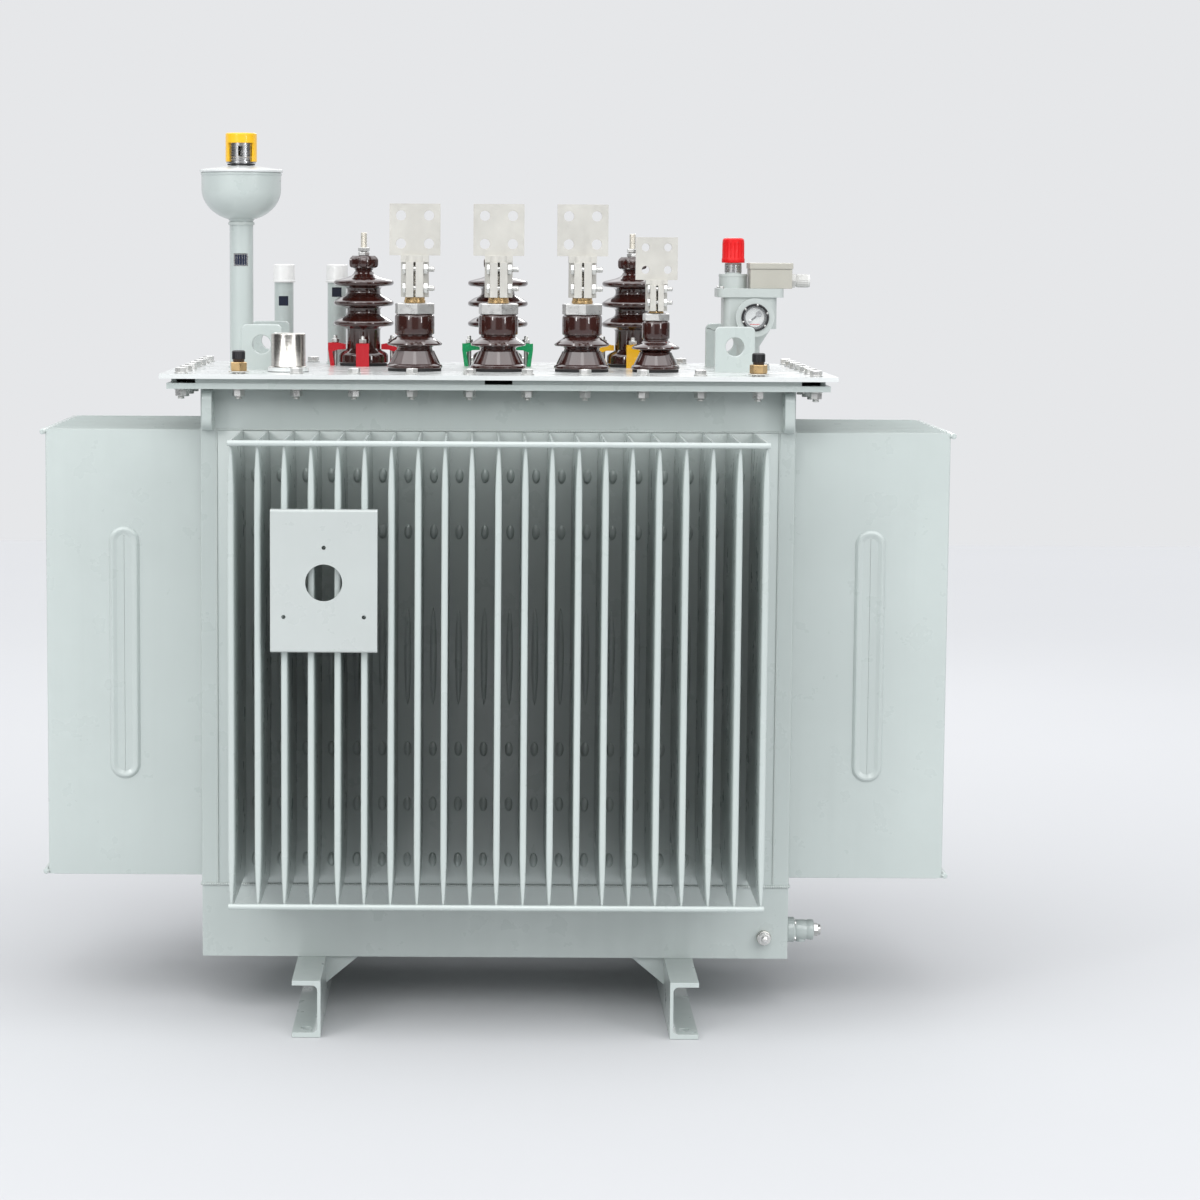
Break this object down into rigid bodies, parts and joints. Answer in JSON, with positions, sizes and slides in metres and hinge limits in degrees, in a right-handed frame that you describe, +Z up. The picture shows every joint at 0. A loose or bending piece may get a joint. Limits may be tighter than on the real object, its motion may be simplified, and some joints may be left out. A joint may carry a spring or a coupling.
{
  "type": "oil-immersed distribution transformer",
  "caption": "Sealed oil-filled three-phase transformer with corrugated fin tank, porcelain bushings, oil cup, relay and channel feet.",
  "frame": {"origin": "centre of the foot bolt pattern, on the floor", "axes": "+X along the long side, -Y the low voltage side with the thermometer plate, +Z up"},
  "size_m": [1.62, 1.088, 1.567],
  "materials": {
    "tank_paint": "satin pale grey-green paint",
    "cover_paint": "satin pale paint",
    "fastener_zinc": "bright zinc",
    "porcelain_brown": "glossy brown glaze",
    "tinned_terminal": "dull tin",
    "stud_metal": "tinned threads",
    "brass_fitting": "machined",
    "black_rubber": "matte",
    "claw_red": "gloss red",
    "claw_green": "gloss green",
    "claw_yellow": "gloss yellow",
    "cap_yellow": "moulded",
    "cap_red": "moulded",
    "cap_white": "moulded",
    "cap_black": "moulded",
    "valve_steel": "turned",
    "sight_glass": "clear over dark oil",
    "relay_glass": "clear",
    "stainless": "brushed",
    "relay_casting": "painted casting",
    "box_beige": "moulded",
    "gland_white": "moulded",
    "float_plastic": "moulded",
    "knob_bakelite": "moulded",
    "switch_tube": "varnished",
    "core_steel": "laminated",
    "clamp_steel": "matte",
    "winding_copper": "enamelled",
    "pressboard": "pressed"
  },
  "bodies": {
    "tank": {"foot_channels": "tank_paint", "tank_base_pan": "tank_paint", "corner_posts": "tank_paint", "front_fin_wall": "tank_paint", "back_fin_wall": "tank_paint", "left_fin_wall": "tank_paint", "right_fin_wall": "tank_paint", "fin_tie_rods": "tank_paint", "tank_rim": "tank_paint", "tank_lifting_plates": "tank_paint", "cover_gasket": "black_rubber", "cover_plate": "cover_paint", "cover_bolts": "fastener_zinc", "cover_lifting_lugs": "tank_paint", "lv_porcelains": "porcelain_brown", "lv_terminal_clamps": "tinned_terminal", "bushing_bolts": "fastener_zinc", "lv_brass_rings": "brass_fitting", "terminal_studs": "stud_metal", "terminal_nuts": "fastener_zinc", "bushing_gaskets": "black_rubber", "hv_porcelains": "porcelain_brown", "hv_claws_red": "claw_red", "hv_claws_green": "claw_green", "hv_claws_yellow": "claw_yellow", "filler_pipe": "tank_paint", "oil_cup": "tank_paint", "oil_cup_lid": "cover_paint", "relief_valve_body": "valve_steel", "relief_valve_spring": "valve_steel", "gauge_tubes": "tank_paint", "sight_windows": "sight_glass", "tap_changer_base": "cover_paint", "tap_changer_switch": "switch_tube", "relay_body": "relay_casting", "relay_cover": "relay_casting", "relay_window": "relay_glass", "junction_box": "box_beige", "cable_gland": "gland_white", "thermometer_plate": "cover_paint", "drain_valve_body": "tank_paint", "earth_stud": "stainless", "bonding_studs": "brass_fitting", "bonding_stud_caps": "cap_black", "core": "core_steel", "core_clamps": "clamp_steel", "lv_windings": "winding_copper", "hv_windings": "winding_copper", "winding_insulation": "pressboard", "winding_leads": "winding_copper"},
    "drain_valve_plug": {"drain_valve_plug": "stainless"},
    "gauge_cap_left": {"gauge_cap_left": "cap_white"},
    "gauge_cap_right": {"gauge_cap_right": "cap_white"},
    "junction_box_lid": {"junction_box_lid": "box_beige"},
    "relay_float": {"relay_float": "float_plastic"},
    "relay_valve_cap": {"relay_valve_cap": "cap_red"},
    "relief_valve_cap": {"relief_valve_cap": "cap_yellow"},
    "relief_valve_stem": {"relief_valve_stem": "valve_steel"},
    "tap_changer_cap": {"tap_changer_cap": "stainless"},
    "tap_changer_knob": {"tap_changer_knob": "knob_bakelite"}
  },
  "joints": [
    {"name": "relief_valve_lift", "type": "slide", "parent": "tank", "child": "relief_valve_stem", "axis": [0, 0, 1], "range_m": [0, 0.005], "stiffness_N_per_m": 2600, "springref_m": -0.004, "deforming": ["relief_valve_spring"]},
    {"name": "relief_cap_lift", "type": "slide", "parent": "tank", "child": "relief_valve_cap", "axis": [0, 0, 1], "range_m": [0, 0.06]},
    {"name": "gauge_cap_left_lift", "type": "slide", "parent": "tank", "child": "gauge_cap_left", "axis": [0, 0, 1], "range_m": [0, 0.04]},
    {"name": "gauge_cap_right_lift", "type": "slide", "parent": "tank", "child": "gauge_cap_right", "axis": [0, 0, 1], "range_m": [0, 0.04]},
    {"name": "tap_cap_lift", "type": "slide", "parent": "tank", "child": "tap_changer_cap", "axis": [0, 0, 1], "range_m": [0, 0.07]},
    {"name": "tap_knob_turn", "type": "hinge", "parent": "tank", "child": "tap_changer_knob", "pos_m": [-0.3725, -0.195, 1.168], "axis": [0, 0, 1], "range_deg": [-72, 72]},
    {"name": "relay_cap_lift", "type": "slide", "parent": "tank", "child": "relay_valve_cap", "axis": [0, 0, 1], "range_m": [0, 0.05]},
    {"name": "relay_float_drop", "type": "slide", "parent": "tank", "child": "relay_float", "axis": [0, 0, -1], "range_m": [0, 0.012]},
    {"name": "junction_lid_lift", "type": "slide", "parent": "tank", "child": "junction_box_lid", "axis": [0, 0, 1], "range_m": [0, 0.02]},
    {"name": "drain_spindle_turn", "type": "hinge", "parent": "tank", "child": "drain_valve_plug", "pos_m": [0.579, -0.15, 0.132], "axis": [1, 0, 0], "range_deg": [0, 720]}
  ]
}
